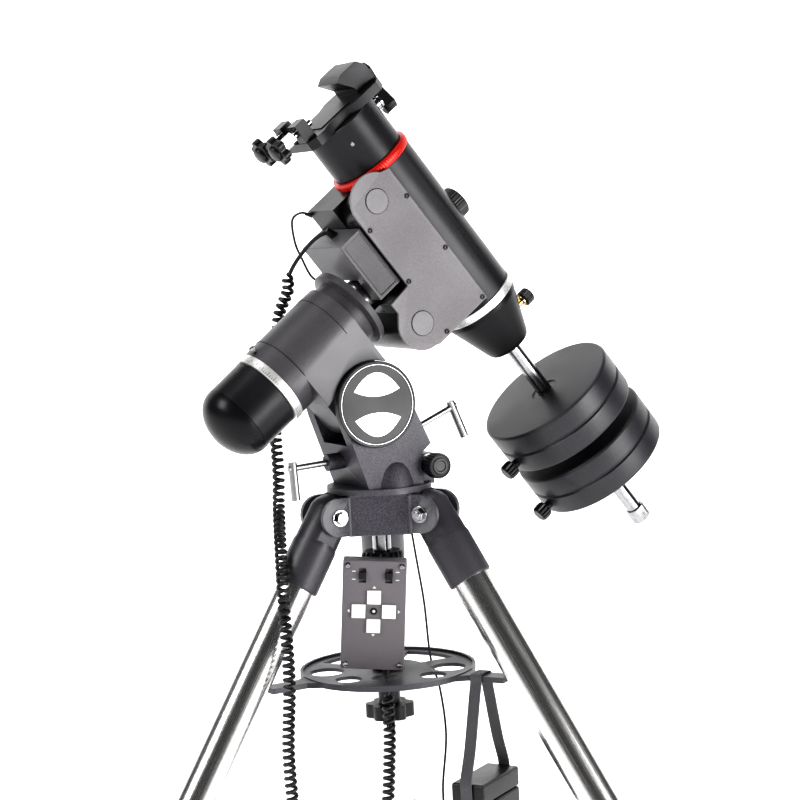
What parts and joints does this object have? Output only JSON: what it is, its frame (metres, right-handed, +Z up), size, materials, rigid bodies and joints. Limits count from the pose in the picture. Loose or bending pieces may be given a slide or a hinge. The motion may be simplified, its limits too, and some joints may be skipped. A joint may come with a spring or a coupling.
{
  "type": "telescope mount on tripod",
  "caption": "Equatorial telescope mount head with motor drive, hand controller and counterweights, on a folding steel-tube tripod with an accessory tray.",
  "frame": {"origin": "on the floor, under the middle of the object's box without its cords", "axes": "+Z up; the two front legs point to -Y, left and right; the head's upper end leans towards +X and +Y"},
  "size_m": [0.8364, 0.7293, 1.1197],
  "materials": {
    "black_paint": "satin black enamel",
    "grey_paint": "fine crackle dark grey enamel",
    "steel": "satin tube",
    "chrome": "polished",
    "black_plastic": "moulded matt",
    "silver": "turned, engraved divisions",
    "red": "red anodised",
    "white_plastic": "moulded keys",
    "rubber": "matt cable jacket",
    "webbing": "woven webbing"
  },
  "bodies": {
    "tripod": {"tripod_hub": "black_paint", "hinge_bolt_left": "chrome", "hinge_bolt_right": "chrome", "hinge_bolt_rear": "chrome", "handset_body": "black_plastic", "cord_lower": "rubber"},
    "centre_rod": {"centre_rod": "chrome"},
    "tray": {"accessory_tray": "black_plastic", "strap": "webbing", "battery_case": "black_plastic", "power_lead": "rubber"},
    "tray_knob": {"tray_knob": "black_plastic"},
    "azimuth_base": {"azimuth_base": "grey_paint", "altitude_disc": "black_plastic"},
    "azimuth_knob_near": {"azimuth_knob_near": "black_plastic"},
    "azimuth_knob_far": {"azimuth_knob_far": "black_plastic"},
    "altitude_bolt_front": {"altitude_bolt_front": "chrome"},
    "altitude_bolt_rear": {"altitude_bolt_rear": "chrome"},
    "ra_housing": {"ra_housing": "grey_paint", "cord_upper": "rubber"},
    "ra_setting_circle": {"ra_setting_circle": "silver"},
    "polar_scope_cap": {"polar_scope_cap": "black_paint"},
    "dec_housing": {"ra_shaft": "steel", "dec_housing": "black_paint", "dec_cover": "grey_paint", "ra_motor_box": "grey_paint", "dec_lead": "rubber", "dec_collar": "black_paint", "cw_shaft": "chrome"},
    "cw_end_cap": {"cw_end_cap": "chrome"},
    "dec_setting_circle": {"dec_setting_circle": "silver"},
    "dec_clamp_knob": {"dec_clamp_knob": "black_plastic"},
    "dec_head": {"dec_head": "black_paint", "red_ring": "red", "saddle_plate": "black_paint"},
    "saddle_knob_near": {"saddle_knob_near": "black_plastic"},
    "saddle_knob_far": {"saddle_knob_far": "black_plastic"},
    "head_clamp_knob": {"head_clamp_knob": "black_plastic"},
    "counterweight_1": {"counterweight_1": "black_paint"},
    "counterweight_2": {"counterweight_2": "black_paint"},
    "cw_knob_1": {"cw_knob_1": "black_plastic"},
    "cw_knob_2": {"cw_knob_2": "black_plastic"},
    "leg_left": {"leg_head_left": "black_paint", "upper_leg_left": "steel"},
    "lower_leg_left": {"lower_leg_left": "steel"},
    "leg_lock_knob_left": {"leg_lock_knob_left": "black_plastic"},
    "leg_right": {"leg_head_right": "black_paint", "upper_leg_right": "steel"},
    "lower_leg_right": {"lower_leg_right": "steel"},
    "leg_lock_knob_right": {"leg_lock_knob_right": "black_plastic"},
    "leg_rear": {"leg_head_rear": "black_paint", "upper_leg_rear": "steel"},
    "lower_leg_rear": {"lower_leg_rear": "steel"},
    "leg_lock_knob_rear": {"leg_lock_knob_rear": "black_plastic"},
    "key_up": {"key_up": "white_plastic"},
    "key_left": {"key_left": "white_plastic"},
    "key_right": {"key_right": "white_plastic"},
    "key_down": {"key_down": "white_plastic"},
    "switch_speed": {"switch_speed": "black_plastic"},
    "switch_hemisphere": {"switch_hemisphere": "black_plastic"}
  },
  "joints": [
    {"name": "leg_fold_left", "type": "hinge", "parent": "tripod", "child": "leg_left", "pos_m": [-0.0511, -0.14509, 0.67424], "axis": [0.5, -0.866, 0], "range_deg": [0, 6]},
    {"name": "leg_extend_left", "type": "slide", "parent": "leg_left", "child": "lower_leg_left", "axis": [-0.4525, -0.2612, -0.8526], "range_m": [0, 0.35]},
    {"name": "leg_lock_left", "type": "hinge", "parent": "leg_left", "child": "leg_lock_knob_left", "pos_m": [-0.27146, -0.27232, 0.259], "axis": [-0.7384, -0.4263, 0.5225], "range_deg": [-180, 180]},
    {"name": "leg_fold_right", "type": "hinge", "parent": "tripod", "child": "leg_right", "pos_m": [0.0511, -0.14509, 0.67424], "axis": [0.5, 0.866, 0], "range_deg": [0, 6]},
    {"name": "leg_extend_right", "type": "slide", "parent": "leg_right", "child": "lower_leg_right", "axis": [0.4525, -0.2612, -0.8526], "range_m": [0, 0.35]},
    {"name": "leg_lock_right", "type": "hinge", "parent": "leg_right", "child": "leg_lock_knob_right", "pos_m": [0.27146, -0.27232, 0.259], "axis": [0.7384, -0.4263, 0.5225], "range_deg": [-180, 180]},
    {"name": "leg_fold_rear", "type": "hinge", "parent": "tripod", "child": "leg_rear", "pos_m": [0, -0.05659, 0.67424], "axis": [-1, 0, 0], "range_deg": [0, 6]},
    {"name": "leg_extend_rear", "type": "slide", "parent": "leg_rear", "child": "lower_leg_rear", "axis": [0, 0.5225, -0.8526], "range_m": [0, 0.35]},
    {"name": "leg_lock_rear", "type": "hinge", "parent": "leg_rear", "child": "leg_lock_knob_rear", "pos_m": [0, 0.19787, 0.259], "axis": [0, 0.8526, 0.5225], "range_deg": [-180, 180]},
    {"name": "tray_drop", "type": "slide", "parent": "tripod", "child": "tray", "axis": [0, 0, -1], "range_m": [0, 0.056]},
    {"name": "tray_knob_turn", "type": "hinge", "parent": "tray", "child": "tray_knob", "pos_m": [0, -0.11559, 0.51024], "axis": [0, 0, 1], "continuous": true},
    {"name": "azimuth_lock_turn", "type": "hinge", "parent": "tripod", "child": "centre_rod", "pos_m": [0, -0.11559, 0.67424], "axis": [0, 0, 1], "continuous": true},
    {"name": "azimuth_turn", "type": "hinge", "parent": "tripod", "child": "azimuth_base", "pos_m": [0, -0.11559, 0.78424], "axis": [0, 0, 1], "range_deg": [-6, 6]},
    {"name": "azimuth_screw_near", "type": "slide", "parent": "azimuth_base", "child": "azimuth_knob_near", "axis": [0.4695, -0.8829, 0], "range_m": [-0.0048, 0.0048]},
    {"name": "azimuth_screw_far", "type": "slide", "parent": "azimuth_base", "child": "azimuth_knob_far", "axis": [-0.4695, 0.8829, 0], "range_m": [-0.0048, 0.0048]},
    {"name": "altitude_tilt", "type": "hinge", "parent": "azimuth_base", "child": "ra_housing", "pos_m": [-0.01854, -0.12545, 0.78424], "axis": [0.4695, -0.8829, 0], "range_deg": [-18, 18]},
    {"name": "altitude_screw_front", "type": "slide", "parent": "azimuth_base", "child": "altitude_bolt_front", "axis": [0.8167, 0.4343, 0.38], "range_m": [-0.0105, 0.0105]},
    {"name": "altitude_screw_rear", "type": "slide", "parent": "azimuth_base", "child": "altitude_bolt_rear", "axis": [-0.8818, -0.4688, -0.0519], "range_m": [-0.0105, 0.0105]},
    {"name": "ra_circle_turn", "type": "hinge", "parent": "ra_housing", "child": "ra_setting_circle", "pos_m": [-0.10151, -0.16956, 0.8056], "axis": [0.6929, 0.3684, 0.6198], "continuous": true},
    {"name": "polar_cap_pull", "type": "slide", "parent": "ra_housing", "child": "polar_scope_cap", "axis": [-0.6929, -0.3684, -0.6198], "range_m": [0, 0.045]},
    {"name": "ra_turn", "type": "hinge", "parent": "ra_housing", "child": "dec_housing", "pos_m": [0.05786, -0.08482, 0.94815], "axis": [0.6929, 0.3684, 0.6198], "range_deg": [-95, 95]},
    {"name": "dec_turn", "type": "hinge", "parent": "dec_housing", "child": "dec_head", "pos_m": [0.05786, -0.08482, 0.94815], "axis": [-0.5472, -0.291, 0.7848], "continuous": true},
    {"name": "dec_circle_turn", "type": "hinge", "parent": "dec_housing", "child": "dec_setting_circle", "pos_m": [0.05786, -0.08482, 0.94815], "axis": [-0.5472, -0.291, 0.7848], "continuous": true},
    {"name": "dec_clamp_turn", "type": "hinge", "parent": "dec_housing", "child": "dec_clamp_knob", "pos_m": [0.1514, -0.03509, 0.86807], "axis": [0.6929, 0.3684, 0.6198], "range_deg": [-180, 180]},
    {"name": "saddle_knob_near_turn", "type": "hinge", "parent": "dec_head", "child": "saddle_knob_near", "pos_m": [-0.05851, -0.16596, 1.05227], "axis": [-0.6929, -0.3684, -0.6198], "continuous": true},
    {"name": "saddle_knob_far_turn", "type": "hinge", "parent": "dec_head", "child": "saddle_knob_far", "pos_m": [-0.07447, -0.13594, 1.05227], "axis": [-0.6929, -0.3684, -0.6198], "continuous": true},
    {"name": "head_clamp_turn", "type": "hinge", "parent": "dec_head", "child": "head_clamp_knob", "pos_m": [0.00956, -0.09692, 1.07308], "axis": [0.6929, 0.3684, 0.6198], "range_deg": [-60, 60]},
    {"name": "cw_end_cap_turn", "type": "hinge", "parent": "dec_housing", "child": "cw_end_cap", "pos_m": [0.27676, 0.03156, 0.63424], "axis": [0.5472, 0.291, -0.7848], "continuous": true},
    {"name": "counterweight_1_slide", "type": "slide", "parent": "dec_housing", "child": "counterweight_1", "axis": [0.5472, 0.291, -0.7848], "range_m": [-0.06, 0.0055]},
    {"name": "counterweight_2_slide", "type": "slide", "parent": "dec_housing", "child": "counterweight_2", "axis": [0.5472, 0.291, -0.7848], "range_m": [-0.0055, 0.06]},
    {"name": "cw_knob_1_turn", "type": "hinge", "parent": "counterweight_1", "child": "cw_knob_1", "pos_m": [0.14319, -0.03945, 0.70429], "axis": [-0.6929, -0.3684, -0.6198], "range_deg": [-180, 180]},
    {"name": "cw_knob_2_turn", "type": "hinge", "parent": "counterweight_2", "child": "cw_knob_2", "pos_m": [0.17636, -0.02182, 0.65673], "axis": [-0.6929, -0.3684, -0.6198], "range_deg": [-180, 180]},
    {"name": "key_up_press", "type": "slide", "parent": "tripod", "child": "key_up", "axis": [0, 1, 0], "range_m": [0, 0.0015], "stiffness_N_per_m": 250, "springref_m": -0.0004},
    {"name": "key_left_press", "type": "slide", "parent": "tripod", "child": "key_left", "axis": [0, 1, 0], "range_m": [0, 0.0015], "stiffness_N_per_m": 250, "springref_m": -0.0004},
    {"name": "key_right_press", "type": "slide", "parent": "tripod", "child": "key_right", "axis": [0, 1, 0], "range_m": [0, 0.0015], "stiffness_N_per_m": 250, "springref_m": -0.0004},
    {"name": "key_down_press", "type": "slide", "parent": "tripod", "child": "key_down", "axis": [0, 1, 0], "range_m": [0, 0.0015], "stiffness_N_per_m": 250, "springref_m": -0.0004},
    {"name": "switch_speed_slide", "type": "slide", "parent": "tripod", "child": "switch_speed", "axis": [0.0767, 0, 0.9971], "range_m": [-0.0035, 0.0035]},
    {"name": "switch_hemisphere_slide", "type": "slide", "parent": "tripod", "child": "switch_hemisphere", "axis": [0.0767, 0, 0.9971], "range_m": [-0.0035, 0.0035]}
  ],
  "couplings": [
    {"joint": "leg_fold_right", "follows": "leg_fold_left", "ratio": 1},
    {"joint": "leg_fold_rear", "follows": "leg_fold_left", "ratio": 1},
    {"joint": "tray_drop", "follows": "leg_fold_left", "m_per_rad": 0.525},
    {"joint": "azimuth_screw_near", "follows": "azimuth_turn", "m_per_rad": 0.041},
    {"joint": "azimuth_screw_far", "follows": "azimuth_turn", "m_per_rad": -0.041},
    {"joint": "altitude_screw_front", "follows": "altitude_tilt", "m_per_rad": 0.033},
    {"joint": "altitude_screw_rear", "follows": "altitude_tilt", "m_per_rad": -0.033}
  ]
}
